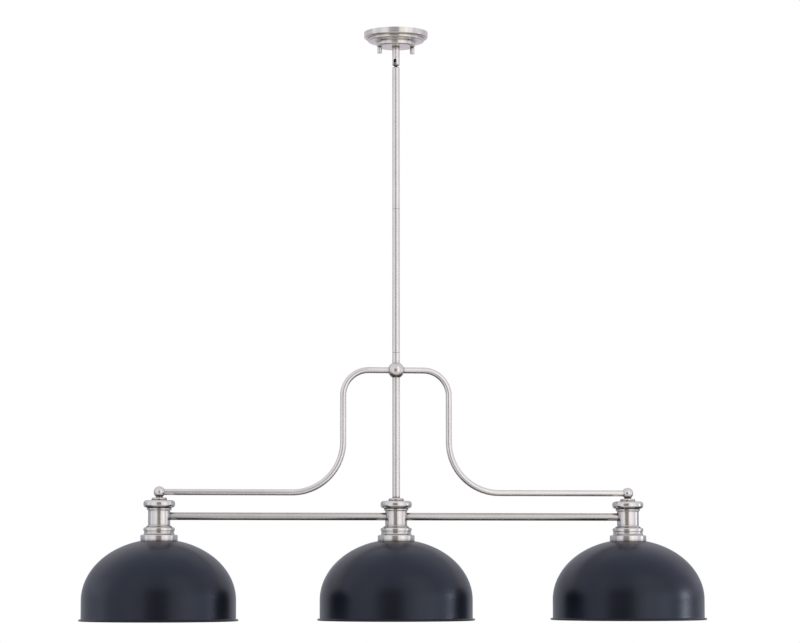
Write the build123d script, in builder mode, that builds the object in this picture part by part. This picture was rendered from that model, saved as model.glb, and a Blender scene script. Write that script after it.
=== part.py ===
from build123d import *
from math import acos, asin, atan, cos, degrees, radians, sin, sqrt
import os

# A three-lamp billiard pendant, in millimetres. The origin is the centre of the ceiling plane, +Z is up
# and +X runs along the bar. Every piece hangs below the ceiling plane, so its heights are negative.

# Driving dimensions

# Lamps: three dome shades in a row along the bar
lamp_spacing = 495.3
lamp_sides = {"left": -1, "centre": 0, "right": 1}

# Fits shared by every piece
thread_clearance = 0.05
slip_clearance = 0.15
bore_clearance = 0.3
edge_break = 0.4

# Lamp pipe: the hollow threaded nipple that joins tubes, holders and sockets
pipe_radius = 4.85
pipe_bore = 3.2

# Mounting bracket, screwed to the ceiling box
bracket_length = 112.0
bracket_width = 20.0
bracket_sheet = 2.5
bracket_centre_hole = 6.5
box_screw_spacing = 88.9
box_slot_length = 10.0
box_slot_width = 4.6
stud_spacing = 69.85
stud_radius = 2.05
stud_nut_corner_radius = 5.0
stud_nut_height = 3.2
ground_screw_offset = 18.0
ground_screw_radius = 1.85
ground_head_corner_radius = 4.0
ground_head_height = 2.5

# Canopy: a spun pan with a tall wall, a bead, a cove and a flat drum below
canopy_radius = 67.7
canopy_height = 31.0
canopy_sheet = 1.2
canopy_wall_height = 13.8
canopy_wall_corner = 5.0
canopy_shelf = 7.5
canopy_step = 3.0
canopy_bead = 3.0
canopy_cove_radius = 30.0
drum_radius = 41.5
drum_height = 8.8
drum_corner = 4.0

# Cap nuts that hold the canopy up on the bracket's studs
cap_nut_radius = 4.8
cap_nut_length = 14.3
cap_nut_neck_step = 0.9
cap_nut_neck_height = 1.2
cap_nut_corner = 0.9
cap_nut_thread_depth = 9.0

# Hang-straight swivel: a ball that turns in a slotted housing under the canopy
swivel_radius = 7.94
swivel_length = 39.2
swivel_plug_length = 14.0
swivel_pipe_rise = 9.3
swivel_nut_corner_radius = 8.0
swivel_nut_height = 4.0
swivel_washer_radius = 9.0
swivel_washer_sheet = 1.0
swivel_ball_radius = 6.2
swivel_ball_clearance = 0.08
swivel_ball_rise = 3.6
swivel_ball_flat = 4.6
swivel_neck_radius = 3.0
swivel_neck_bore = 2.2
swivel_head_radius = 4.0
swivel_head_height = 1.6
swivel_slot_width = 6.6
swivel_slot_height = 13.0
swivel_slot_azimuth = 23.0
swivel_gap = 3.4

# Hanging rods: tubes with a tapped plug in each end
rod_radius = 7.94
rod_wall = 1.2
rod_length = 304.8
rod_plug_length = 14.0
rod_top_chamfer = 2.0
rod_thread_grip = 11.0

# Hub ball, the short stub above it and the centre stem below it
stub_length = 25.0
hub_radius = 17.3
hub_tube_seat = 12.5
hub_arm_seat = 9.0
hub_thread_grip = 9.0
stem_length = 256.3

# Arms: bent tubes from the hub out to a ball above each end holder
arm_radius = 6.35
arm_wall = 1.0
arm_reach = 112.0
arm_upper_bend = 54.0
arm_lower_bend = 107.0
end_ball_radius = 11.8
end_ball_rise = 11.4
end_ball_arm_seat = 6.5
end_ball_neck_radius = 7.2
end_ball_thread_grip = 8.0

# Lamp holders, from the top: collar, ring, column and cup, clamped by pipe and a hickey
collar_height = 5.8
collar_radius = 16.2
collar_crown = 3.6
collar_corner = 1.2
ring_height = 15.3
ring_radius = 32.8
ring_corner = 6.2
ring_recess_inner = 9.0
ring_recess_outer = 22.0
ring_recess_depth = 9.0
column_height = 40.7
column_radius = 23.1
column_cavity_radius = 20.0
column_bead_reach = 2.6
column_bead_height = 4.6
column_bead_corner = 1.9
column_neck_fillet = 1.6
column_foot_reach = 3.9
column_foot_height = 2.6
column_foot_fillet = 2.8
column_foot_corner = 0.5
hickey_height = 34.0
hickey_radius = 9.2
hickey_boss_height = 7.0
hickey_window = 14.4
cup_web = 2.5
cup_wall = 2.6
cup_bead_reach = 1.5
cup_bead_height = 7.6
cup_bead_corner = 3.0
cup_bead_undercut = 1.2
cup_waist_radius = 31.0
cup_waist_height = 8.0
cup_waist_fillet = 4.6
cup_skirt_reach = 7.6
cup_skirt_height = 12.4
cup_skirt_corner = 2.0
cup_nut_corner_radius = 8.0
cup_nut_height = 3.5

# Bars: tubes between the columns, coped to their walls
bar_radius = 7.94
bar_wall = 1.2
bar_drop = 17.5
bar_plug_length = 14.0
bar_nut_corner_radius = 7.4
bar_nut_height = 3.2
bar_pipe_overhang = 1.0
bar_pipe_grip = 11.0
bar_cope_gap = 0.03

# Sockets: insulated barrels for a 26 mm screw base
socket_radius = 19.9
socket_rise = 14.0
socket_drop = 32.0
socket_pipe_grip = 8.0
socket_chamber_radius = 8.0
socket_chamber_height = 5.0
shell_recess = 1.5
shell_radius = 13.2
shell_sheet = 0.6
shell_length = 21.0
contact_well_radius = 9.0
contact_well_depth = 4.0
contact_radius = 5.0
contact_sheet = 1.0
contact_dome_radius = 2.4
contact_dome_height = 1.6
contact_dome_corner = 0.8

# Shades and the rings that clamp them
shade_radius = 160.0
shade_sheet = 1.0
shade_flat_margin = 0.9
shade_dome_height = 122.6
shade_skirt_height = 38.7
shade_rim_reach = 5.1
shade_rim_height = 4.0
shade_rim_fillet = 1.5
shade_hole_clearance = 0.7
shade_ring_radius = 28.5
shade_ring_height = 6.0
shade_ring_notches = 12
shade_ring_notch_radius = 1.6

# Wiring
lead_radius = 1.0
lead_offset = 2.1
lead_tail = 8.0
lead_bend = 8.0
lead_reach = 20.0
lead_drop = 11.0
lead_azimuths = (30.0, 90.0, 150.0)
wire_nut_mouth_radius = 4.6
wire_nut_tip_radius = 3.0
wire_nut_length = 18.0
wire_nut_overlap = 6.0
supply_cable_radius = 2.1
branch_cable_radius = 1.75
branch_cable_bend = 14.0
terminal_block_length = 13.0
terminal_block_width = 10.0
terminal_block_height = 12.0

# Heights worked out from the driving dimensions, down from the ceiling plane at zero

canopy_bottom = -canopy_height
housing_bottom = canopy_bottom - swivel_length
ball_z = housing_bottom + swivel_ball_rise
rod_top = housing_bottom - swivel_gap
rod_joint = rod_top - rod_length
stub_top = rod_joint - rod_length
stub_bottom = stub_top - stub_length
hub_z = stub_bottom - hub_tube_seat
stem_top = hub_z - hub_tube_seat
collar_top = stem_top - stem_length
end_ball_z = collar_top + end_ball_rise
ring_top = collar_top - collar_height
column_top = ring_top - ring_height
bar_z = column_top - bar_drop
cup_top = column_top - column_height
cup_bead_bottom = cup_top - cup_bead_height
cup_skirt_top = cup_bead_bottom - cup_waist_height
shade_top = cup_skirt_top - cup_skirt_height
shade_spring = shade_top - shade_dome_height
shade_rim_top = shade_spring - shade_skirt_height
shade_bottom = shade_rim_top - shade_rim_height
socket_top = shade_top + socket_rise
socket_bottom = shade_top - socket_drop

# Sizes that follow from a fit

pipe_hole = pipe_radius + thread_clearance
pipe_slip_hole = pipe_radius + slip_clearance
stud_hole = stud_radius + thread_clearance
swivel_bore = swivel_ball_radius + swivel_ball_clearance
cap_nut_neck_radius = cap_nut_radius - cap_nut_neck_step
column_bead_radius = column_radius + column_bead_reach
column_foot_radius = column_radius + column_foot_reach
cup_bead_radius = cup_waist_radius + cup_bead_reach
cup_skirt_radius = cup_waist_radius + cup_skirt_reach
shade_flat_radius = cup_skirt_radius + shade_flat_margin
shade_rim_radius = shade_radius + shade_rim_reach
hickey_top = bar_z + hickey_height / 2
hickey_bottom = bar_z - hickey_height / 2
shell_bottom = socket_bottom + shell_recess
shell_top = shell_bottom + shell_length
contact_top = shell_top + contact_well_depth
pipe_end = socket_top - socket_pipe_grip
chamber_floor = pipe_end - socket_chamber_height
bar_nut_seat = sqrt(column_cavity_radius**2 - bar_nut_corner_radius**2) - thread_clearance

MATCH = 0.001
PARTS_FOLDER = "parts"
os.makedirs(PARTS_FOLDER, exist_ok=True)


def keep(part, name):
    """Labels a finished piece and writes it to its own STEP file."""
    part.label = name
    export_step(part, f"{PARTS_FOLDER}/{name}.step")


def upright(x):
    """The vertical plane of a turned piece's outline, with its origin on the lamp axis at x."""
    return Plane(origin=(x, 0, 0), x_dir=(1, 0, 0), z_dir=(0, -1, 0))


def lamp_axis(x):
    """The vertical axis that a lamp's turned pieces are made about."""
    return Axis((x, 0, 0), (0, 0, 1))


def lamp_x(side):
    """Where a lamp's axis stands along the bar."""
    return lamp_sides[side] * lamp_spacing


def pipe(bottoms, length):
    """Hollow threaded nipples of one length, standing up from each of the given points."""
    with BuildPart() as nipples:
        for bottom in bottoms:
            with BuildSketch(Plane(origin=bottom)):
                Circle(pipe_radius)
                Circle(pipe_bore, mode=Mode.SUBTRACT)
            extrude(amount=length)
    return nipples.part


def rims(edges, radius, z):
    """The round edges of one radius at one height."""
    level = edges.filter_by_position(Axis.Z, z - MATCH, z + MATCH).filter_by(GeomType.CIRCLE)
    return level.filter_by(lambda edge: abs(edge.radius - radius) < MATCH)


def plugged_tube(base, length, radius, wall, plug_length, far_chamfer=edge_break):
    """A tube along the base plane's normal, with a plug tapped for pipe in each end."""
    with BuildPart() as tube:
        with BuildSketch(base):
            Circle(radius)
        extrude(amount=length)
        ends = tube.edges().filter_by(GeomType.CIRCLE).sort_by(Axis(base.origin, base.z_dir))
        chamfer(ends[0], length=edge_break)
        chamfer(ends[-1], length=far_chamfer)
        with BuildSketch(base):
            Circle(pipe_hole)
        extrude(amount=length, mode=Mode.SUBTRACT)
        if length > 2 * plug_length:
            with BuildSketch(base.offset(plug_length)):
                Circle(radius - wall)
            extrude(amount=length - 2 * plug_length, mode=Mode.SUBTRACT)
    return tube.part


def hex_nut(base, corner_radius, height, bore):
    """A hexagon nut standing on the base plane."""
    with BuildPart() as nut:
        with BuildSketch(base):
            RegularPolygon(radius=corner_radius, side_count=6)
            Circle(bore, mode=Mode.SUBTRACT)
        extrude(amount=height)
    return nut.part


# Mounting bracket, its studs and its ground screw

with BuildPart() as mounting_bracket:
    with BuildSketch(Plane.XY.offset(-bracket_sheet)):
        SlotOverall(bracket_length, bracket_width)
        Circle(bracket_centre_hole, mode=Mode.SUBTRACT)
        with GridLocations(stud_spacing, 0, 2, 1):
            Circle(stud_hole, mode=Mode.SUBTRACT)
        with GridLocations(box_screw_spacing, 0, 2, 1):
            SlotOverall(box_slot_length, box_slot_width, mode=Mode.SUBTRACT)
        with Locations((-ground_screw_offset, 0)):
            Circle(ground_screw_radius + thread_clearance, mode=Mode.SUBTRACT)
    extrude(amount=bracket_sheet)
keep(mounting_bracket.part, "mounting_bracket")

stud_length = canopy_height + cap_nut_thread_depth - bore_clearance
with BuildPart() as bracket_studs:
    with BuildSketch():
        with GridLocations(stud_spacing, 0, 2, 1):
            Circle(stud_radius)
    extrude(amount=-stud_length)
keep(bracket_studs.part, "bracket_studs")

with BuildPart() as stud_locknuts:
    with BuildSketch(Plane.XY.offset(-bracket_sheet)):
        with GridLocations(stud_spacing, 0, 2, 1):
            RegularPolygon(radius=stud_nut_corner_radius, side_count=6)
            Circle(stud_hole, mode=Mode.SUBTRACT)
    extrude(amount=-stud_nut_height)
keep(stud_locknuts.part, "stud_locknuts")

with BuildPart() as ground_screw:
    with BuildSketch():
        with Locations((-ground_screw_offset, 0)):
            Circle(ground_screw_radius)
    extrude(amount=-bracket_sheet)
    with BuildSketch(Plane.XY.offset(-bracket_sheet)):
        with Locations((-ground_screw_offset, 0)):
            RegularPolygon(radius=ground_head_corner_radius, side_count=6)
    extrude(amount=-ground_head_height)
keep(ground_screw.part, "ground_screw")

# Canopy: its outer line runs from the ceiling down to the hole for the swivel's pipe

drum_top = canopy_bottom + drum_height
shelf_radius = canopy_radius - canopy_shelf
bead_foot = (shelf_radius - canopy_bead, -canopy_wall_height - canopy_step - canopy_bead)
with BuildPart() as canopy:
    with BuildSketch(Plane.XZ):
        with BuildLine():
            wall = FilletPolyline(
                (canopy_radius, 0),
                (canopy_radius, -canopy_wall_height),
                (shelf_radius, -canopy_wall_height),
                radius=canopy_wall_corner,
            )
            step = Line(wall @ 1, wall @ 1 - Vector(0, canopy_step))
            bead = RadiusArc(step @ 1, bead_foot, canopy_bead)
            cove = RadiusArc(bead_foot, (drum_radius, drum_top), -canopy_cove_radius)
            drum = FilletPolyline(
                cove @ 1,
                (drum_radius, canopy_bottom),
                (pipe_slip_hole, canopy_bottom),
                radius=drum_corner,
            )
            offset(amount=canopy_sheet, side=Side.RIGHT)
        make_face()
    revolve(axis=Axis.Z)
    with BuildSketch(Plane.XY.offset(canopy_bottom)):
        with GridLocations(stud_spacing, 0, 2, 1):
            Circle(stud_radius + bore_clearance)
    extrude(amount=canopy_height, mode=Mode.SUBTRACT)
keep(canopy.part, "canopy")

# Cap nuts under the canopy

for side, sign in (("left", -1), ("right", 1)):
    nut_x = sign * stud_spacing / 2
    nut_bottom = canopy_bottom - cap_nut_length
    nut_neck = canopy_bottom - cap_nut_neck_height
    with BuildPart() as cap_nut:
        with BuildSketch(upright(nut_x)):
            with BuildLine():
                Polyline(
                    (0, nut_bottom),
                    (cap_nut_radius, nut_bottom),
                    (cap_nut_radius, nut_neck),
                    (cap_nut_neck_radius, nut_neck),
                    (cap_nut_neck_radius, canopy_bottom),
                    (stud_hole, canopy_bottom),
                    (stud_hole, canopy_bottom - cap_nut_thread_depth),
                    (0, canopy_bottom - cap_nut_thread_depth),
                    close=True,
                )
            make_face()
        revolve(axis=lamp_axis(nut_x))
        fillet(rims(cap_nut.edges(), cap_nut_radius, nut_bottom), cap_nut_corner)
        chamfer(rims(cap_nut.edges(), cap_nut_radius, nut_neck), edge_break)
    keep(cap_nut.part, f"cap_nut_{side}")

# Hang-straight swivel: the plug clamped in the canopy, the slotted housing, the ball and its stem

with BuildPart() as swivel_nipple:
    with BuildSketch(Plane.XY.offset(canopy_bottom)):
        Circle(swivel_bore - thread_clearance)
    extrude(amount=-swivel_plug_length)
    with BuildSketch(Plane.XY.offset(canopy_bottom)):
        Circle(pipe_radius)
    extrude(amount=swivel_pipe_rise)
    with BuildSketch(Plane.XY.offset(canopy_bottom - swivel_plug_length)):
        Circle(pipe_bore)
    extrude(amount=swivel_plug_length + swivel_pipe_rise, mode=Mode.SUBTRACT)
keep(swivel_nipple.part, "swivel_nipple")

washer_bottom = canopy_bottom + canopy_sheet
with BuildPart() as swivel_washer:
    with BuildSketch(Plane.XY.offset(washer_bottom)):
        Circle(swivel_washer_radius)
        Circle(pipe_slip_hole, mode=Mode.SUBTRACT)
    extrude(amount=swivel_washer_sheet)
keep(swivel_washer.part, "swivel_washer")

with BuildPart() as swivel_locknut:
    nut_base = Plane.XY.offset(washer_bottom + swivel_washer_sheet)
    add(hex_nut(nut_base, swivel_nut_corner_radius, swivel_nut_height, pipe_hole))
keep(swivel_locknut.part, "swivel_locknut")

slot_turn = radians(swivel_slot_azimuth)
slot_plane = Plane(
    origin=(0, 0, housing_bottom),
    x_dir=(cos(slot_turn), -sin(slot_turn), 0),
    z_dir=(-sin(slot_turn), -cos(slot_turn), 0),
)
with BuildPart() as swivel_housing:
    with BuildSketch(Plane.XY.offset(housing_bottom)):
        Circle(swivel_radius)
    extrude(amount=swivel_length)
    chamfer(rims(swivel_housing.edges(), swivel_radius, housing_bottom), edge_break)
    with BuildSketch(Plane.XY.offset(ball_z)):
        Circle(swivel_bore)
    extrude(amount=canopy_bottom - ball_z, mode=Mode.SUBTRACT)
    with Locations((0, 0, ball_z)):
        Sphere(swivel_bore, mode=Mode.SUBTRACT)
    with BuildSketch(slot_plane):
        SlotOverall(2 * swivel_slot_height, swivel_slot_width, rotation=90)
    extrude(amount=2 * swivel_radius, mode=Mode.SUBTRACT)
keep(swivel_housing.part, "swivel_housing")

with BuildPart() as swivel_ball:
    with Locations((0, 0, ball_z)):
        Sphere(swivel_ball_radius)
    with BuildSketch(Plane.XY.offset(ball_z + swivel_ball_flat)):
        Circle(swivel_ball_radius)
    extrude(amount=swivel_ball_radius, mode=Mode.SUBTRACT)
    with BuildSketch(Plane.XY.offset(ball_z - swivel_ball_radius)):
        Circle(swivel_neck_radius + thread_clearance)
    extrude(amount=2 * swivel_ball_radius, mode=Mode.SUBTRACT)
keep(swivel_ball.part, "swivel_ball")

head_bottom = ball_z + swivel_ball_flat + thread_clearance
head_top = head_bottom + swivel_head_height
with BuildPart() as swivel_stem:
    with BuildSketch(Plane.XY.offset(rod_top)):
        Circle(pipe_radius)
    extrude(amount=-rod_thread_grip)
    with BuildSketch(Plane.XY.offset(rod_top)):
        Circle(swivel_neck_radius)
    extrude(amount=head_bottom - rod_top)
    with BuildSketch(Plane.XY.offset(head_bottom)):
        Circle(swivel_head_radius)
    extrude(amount=swivel_head_height)
    with BuildSketch(Plane.XY.offset(rod_top - rod_thread_grip)):
        Circle(swivel_neck_bore)
    extrude(amount=head_top - rod_top + rod_thread_grip, mode=Mode.SUBTRACT)
keep(swivel_stem.part, "swivel_stem")

# Rods, stub and centre stem, joined by pipe through the hub

with BuildPart() as rod_upper:
    add(plugged_tube(
        Plane.XY.offset(rod_joint), rod_length, rod_radius, rod_wall, rod_plug_length, rod_top_chamfer
    ))
keep(rod_upper.part, "rod_upper")

with BuildPart() as rod_lower:
    add(plugged_tube(Plane.XY.offset(stub_top), rod_length, rod_radius, rod_wall, rod_plug_length))
keep(rod_lower.part, "rod_lower")

with BuildPart() as hub_stub:
    add(plugged_tube(Plane.XY.offset(stub_bottom), stub_length, rod_radius, rod_wall, rod_plug_length))
keep(hub_stub.part, "hub_stub")

with BuildPart() as centre_stem:
    add(plugged_tube(Plane.XY.offset(collar_top), stem_length, rod_radius, rod_wall, rod_plug_length))
keep(centre_stem.part, "centre_stem")

rod_pipe_bottoms = [(0, 0, rod_joint - rod_thread_grip), (0, 0, stub_top - rod_thread_grip)]
with BuildPart() as rod_nipples:
    add(pipe(rod_pipe_bottoms, 2 * rod_thread_grip))
keep(rod_nipples.part, "rod_nipples")

with BuildPart() as hub_nipple:
    add(pipe([(0, 0, stem_top - hub_thread_grip)], 2 * (hub_tube_seat + hub_thread_grip)))
keep(hub_nipple.part, "hub_nipple")

with BuildPart() as hub_ball:
    with Locations((0, 0, hub_z)):
        Sphere(hub_radius)
    with BuildSketch(Plane.XY.offset(hub_z)):
        Circle(pipe_hole)
    extrude(amount=2 * hub_radius, both=True, mode=Mode.SUBTRACT)
    for sign in (-1, 1):
        with BuildSketch(Plane.XY.offset(hub_z + sign * hub_tube_seat)):
            Circle(rod_radius + thread_clearance)
        extrude(amount=sign * hub_radius, mode=Mode.SUBTRACT)
        with BuildSketch(Plane.YZ.offset(sign * hub_arm_seat)):
            with Locations((0, hub_z)):
                Circle(arm_radius + thread_clearance)
        extrude(amount=sign * hub_radius, mode=Mode.SUBTRACT)
keep(hub_ball.part, "hub_ball")

# Arms and the balls above the end holders

for side, sign in (("left", -1), ("right", 1)):
    end_x = sign * lamp_spacing
    arm_end = end_x - sign * end_ball_arm_seat
    with BuildPart() as arm:
        with BuildLine() as arm_path:
            FilletPolyline(
                (sign * hub_arm_seat, 0, hub_z),
                (sign * arm_reach, 0, hub_z),
                (sign * arm_reach, 0, end_ball_z),
                (arm_end, 0, end_ball_z),
                radius=[arm_upper_bend, arm_lower_bend],
            )
        with BuildSketch(Plane.YZ.offset(sign * hub_arm_seat)):
            with Locations((0, hub_z)):
                Circle(arm_radius)
                Circle(arm_radius - arm_wall, mode=Mode.SUBTRACT)
        sweep(path=arm_path.wire())
    keep(arm.part, f"arm_{side}")

    with BuildPart() as end_ball:
        with Locations((end_x, 0, end_ball_z)):
            Sphere(end_ball_radius)
        with BuildSketch(Plane.XY.offset(collar_top)):
            with Locations((end_x, 0)):
                Circle(end_ball_neck_radius)
        extrude(amount=end_ball_rise)
        split(bisect_by=Plane.XY.offset(collar_top), keep=Keep.TOP)
        with BuildSketch(Plane.XY.offset(collar_top)):
            with Locations((end_x, 0)):
                Circle(pipe_hole)
        extrude(amount=end_ball_thread_grip + bore_clearance, mode=Mode.SUBTRACT)
        with BuildSketch(Plane.YZ.offset(arm_end)):
            with Locations((0, end_ball_z)):
                Circle(arm_radius + thread_clearance)
        extrude(amount=-sign * end_ball_radius, mode=Mode.SUBTRACT)
    keep(end_ball.part, f"end_ball_{side}")

# Bars between the columns, with the pipe and nuts that hold their ends

for side, sign in (("left", -1), ("right", 1)):
    bar_length = lamp_spacing - 2 * column_cavity_radius
    bar_start = column_cavity_radius if sign > 0 else column_cavity_radius - lamp_spacing
    bar_base = Plane(origin=(bar_start, 0, bar_z), x_dir=(0, 1, 0), z_dir=(1, 0, 0))
    with BuildPart() as bar:
        add(plugged_tube(
            bar_base, bar_length, bar_radius, bar_wall, bar_plug_length + column_radius - column_cavity_radius
        ))
        with Locations((0, 0, bar_z), (sign * lamp_spacing, 0, bar_z)):
            Cylinder(column_radius + bar_cope_gap, column_height, mode=Mode.SUBTRACT)
    keep(bar.part, f"bar_{side}")

bar_ends = [(-lamp_spacing, 1), (0, -1), (0, 1), (lamp_spacing, -1)]
pipe_inner = bar_nut_seat - bar_nut_height - bar_pipe_overhang
pipe_outer = column_radius + bar_pipe_grip
with BuildPart() as bar_nipples:
    for column_x, sign in bar_ends:
        with BuildSketch(Plane.YZ.offset(column_x + sign * pipe_inner)):
            with Locations((0, bar_z)):
                Circle(pipe_radius)
                Circle(pipe_bore, mode=Mode.SUBTRACT)
        extrude(amount=sign * (pipe_outer - pipe_inner))
keep(bar_nipples.part, "bar_nipples")

with BuildPart() as bar_locknuts:
    for column_x, sign in bar_ends:
        with BuildSketch(Plane.YZ.offset(column_x + sign * bar_nut_seat)):
            with Locations((0, bar_z)):
                RegularPolygon(radius=bar_nut_corner_radius, side_count=6)
                Circle(pipe_hole, mode=Mode.SUBTRACT)
        extrude(amount=-sign * bar_nut_height)
keep(bar_locknuts.part, "bar_locknuts")

# Lamp holders

with BuildPart() as holder_collars:
    for side in lamp_sides:
        with BuildSketch(upright(lamp_x(side))):
            with BuildLine():
                Polyline(
                    (pipe_slip_hole, ring_top),
                    (collar_radius, ring_top),
                    (collar_radius, collar_top),
                    (pipe_slip_hole, collar_top),
                    close=True,
                )
            make_face()
        revolve(axis=lamp_axis(lamp_x(side)))
    fillet(rims(holder_collars.edges(), collar_radius, collar_top), collar_crown)
    fillet(rims(holder_collars.edges(), collar_radius, ring_top), collar_corner)
keep(holder_collars.part, "holder_collars")

for side in lamp_sides:
    x = lamp_x(side)
    with BuildPart() as holder_ring:
        with BuildSketch(Plane.XY.offset(column_top)):
            with Locations((x, 0)):
                Circle(ring_radius)
                Circle(pipe_slip_hole, mode=Mode.SUBTRACT)
        extrude(amount=ring_height)
        fillet(rims(holder_ring.edges(), ring_radius, column_top), ring_corner)
        fillet(rims(holder_ring.edges(), ring_radius, ring_top), ring_corner)
        with BuildSketch(Plane.XY.offset(column_top)):
            with Locations((x, 0)):
                Circle(ring_recess_outer)
                Circle(ring_recess_inner, mode=Mode.SUBTRACT)
        extrude(amount=ring_recess_depth, mode=Mode.SUBTRACT)
    keep(holder_ring.part, f"holder_ring_{side}")

    bead_bottom = column_top - column_bead_height
    foot_top = cup_top + column_foot_height
    with BuildPart() as holder_column:
        with BuildSketch(upright(x)):
            with BuildLine():
                Polyline(
                    (column_cavity_radius, column_top),
                    (column_bead_radius, column_top),
                    (column_bead_radius, bead_bottom),
                    (column_radius, bead_bottom),
                    (column_radius, foot_top),
                    (column_foot_radius, foot_top),
                    (column_foot_radius, cup_top),
                    (column_cavity_radius, cup_top),
                    close=True,
                )
            make_face()
        revolve(axis=lamp_axis(x))
        fillet(rims(holder_column.edges(), column_radius, bead_bottom), column_neck_fillet)
        fillet(rims(holder_column.edges(), column_radius, foot_top), column_foot_fillet)
        fillet(rims(holder_column.edges(), column_foot_radius, foot_top), column_foot_corner)
        fillet(rims(holder_column.edges(), column_bead_radius, column_top), column_bead_corner)
        fillet(rims(holder_column.edges(), column_bead_radius, bead_bottom), edge_break)
        for column_x, sign in bar_ends:
            if column_x == x:
                with BuildSketch(Plane.YZ.offset(x)):
                    with Locations((0, bar_z)):
                        Circle(pipe_slip_hole)
                extrude(amount=sign * column_bead_radius, mode=Mode.SUBTRACT)
    keep(holder_column.part, f"holder_column_{side}")

    with BuildPart() as holder_cup:
        with BuildSketch(upright(x)):
            with BuildLine():
                Polyline(
                    (pipe_slip_hole, cup_top),
                    (cup_bead_radius, cup_top),
                    (cup_bead_radius, cup_bead_bottom),
                    (cup_waist_radius, cup_bead_bottom),
                    (cup_waist_radius, cup_skirt_top),
                    (cup_skirt_radius, cup_skirt_top),
                    (cup_skirt_radius, shade_top),
                    (cup_skirt_radius - cup_wall, shade_top),
                    (cup_skirt_radius - cup_wall, cup_skirt_top - cup_wall),
                    (cup_waist_radius - cup_wall, cup_skirt_top - cup_wall),
                    (cup_waist_radius - cup_wall, cup_top - cup_web),
                    (pipe_slip_hole, cup_top - cup_web),
                    close=True,
                )
            make_face()
        revolve(axis=lamp_axis(x))
        fillet(rims(holder_cup.edges(), cup_waist_radius, cup_skirt_top), cup_waist_fillet)
        fillet(rims(holder_cup.edges(), cup_skirt_radius, cup_skirt_top), cup_skirt_corner)
        fillet(rims(holder_cup.edges(), cup_bead_radius, cup_top), cup_bead_corner)
        fillet(rims(holder_cup.edges(), cup_bead_radius, cup_bead_bottom), cup_bead_undercut)
    keep(holder_cup.part, f"holder_cup_{side}")

with BuildPart() as holder_hickeys:
    for side in lamp_sides:
        with BuildSketch(Plane.XY.offset(hickey_bottom)):
            with Locations((lamp_x(side), 0)):
                Circle(hickey_radius)
                Circle(pipe_hole, mode=Mode.SUBTRACT)
        extrude(amount=hickey_height)
        with BuildSketch(Plane.XY.offset(hickey_bottom + hickey_boss_height)):
            with Locations((lamp_x(side), 0)):
                Rectangle(2 * hickey_radius, hickey_window)
        extrude(amount=hickey_height - 2 * hickey_boss_height, mode=Mode.SUBTRACT)
keep(holder_hickeys.part, "holder_hickeys")

upper_pipe_bottom = hickey_top - hickey_boss_height
upper_pipe_length = collar_top + end_ball_thread_grip - upper_pipe_bottom
lower_pipe_length = hickey_bottom + hickey_boss_height - pipe_end
with BuildPart() as holder_nipples:
    add(pipe([(lamp_x(side), 0, upper_pipe_bottom) for side in lamp_sides], upper_pipe_length))
    add(pipe([(lamp_x(side), 0, pipe_end) for side in lamp_sides], lower_pipe_length))
keep(holder_nipples.part, "holder_nipples")

with BuildPart() as cup_locknuts:
    for side in lamp_sides:
        nut_base = Plane(origin=(lamp_x(side), 0, cup_top - cup_web - cup_nut_height))
        add(hex_nut(nut_base, cup_nut_corner_radius, cup_nut_height, pipe_hole))
keep(cup_locknuts.part, "cup_locknuts")

# Sockets

cavity_radius = shell_radius + shell_sheet + thread_clearance
for side in lamp_sides:
    x = lamp_x(side)
    with BuildPart() as socket:
        with BuildSketch(Plane.XY.offset(socket_bottom)):
            with Locations((x, 0)):
                Circle(socket_radius)
        extrude(amount=socket_top - socket_bottom)
        chamfer(rims(socket.edges(), socket_radius, socket_bottom), edge_break)
        with BuildSketch(Plane.XY.offset(socket_bottom)):
            with Locations((x, 0)):
                Circle(cavity_radius)
        extrude(amount=shell_top - socket_bottom, mode=Mode.SUBTRACT)
        with BuildSketch(Plane.XY.offset(shell_top)):
            with Locations((x, 0)):
                Circle(contact_well_radius)
        extrude(amount=contact_well_depth, mode=Mode.SUBTRACT)
        with BuildSketch(Plane.XY.offset(chamber_floor)):
            with Locations((x, 0)):
                Circle(socket_chamber_radius)
        extrude(amount=socket_chamber_height, mode=Mode.SUBTRACT)
        with BuildSketch(Plane.XY.offset(pipe_end)):
            with Locations((x, 0)):
                Circle(pipe_hole)
        extrude(amount=socket_pipe_grip, mode=Mode.SUBTRACT)
    keep(socket.part, f"socket_{side}")

with BuildPart() as screw_shells:
    for side in lamp_sides:
        with BuildSketch(Plane.XY.offset(shell_bottom)):
            with Locations((lamp_x(side), 0)):
                Circle(shell_radius + shell_sheet)
        extrude(amount=shell_length)
        with BuildSketch(Plane.XY.offset(shell_bottom)):
            with Locations((lamp_x(side), 0)):
                Circle(shell_radius)
        extrude(amount=shell_length - shell_sheet, mode=Mode.SUBTRACT)
        with BuildSketch(Plane.XY.offset(shell_bottom)):
            with Locations((lamp_x(side), 0)):
                Circle(contact_well_radius)
        extrude(amount=shell_length, mode=Mode.SUBTRACT)
keep(screw_shells.part, "screw_shells")

with BuildPart() as socket_contacts:
    for side in lamp_sides:
        with BuildSketch(Plane.XY.offset(contact_top)):
            with Locations((lamp_x(side), 0)):
                Circle(contact_radius)
        extrude(amount=-contact_sheet)
        with BuildSketch(Plane.XY.offset(contact_top - contact_sheet)):
            with Locations((lamp_x(side), 0)):
                Circle(contact_dome_radius)
        extrude(amount=-contact_dome_height)
    dome_bottom = contact_top - contact_sheet - contact_dome_height
    fillet(rims(socket_contacts.edges(), contact_dome_radius, dome_bottom), contact_dome_corner)
keep(socket_contacts.part, "socket_contacts")

# Shades: a flat under the cup, an elliptical dome, a straight skirt and a rolled rim

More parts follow.
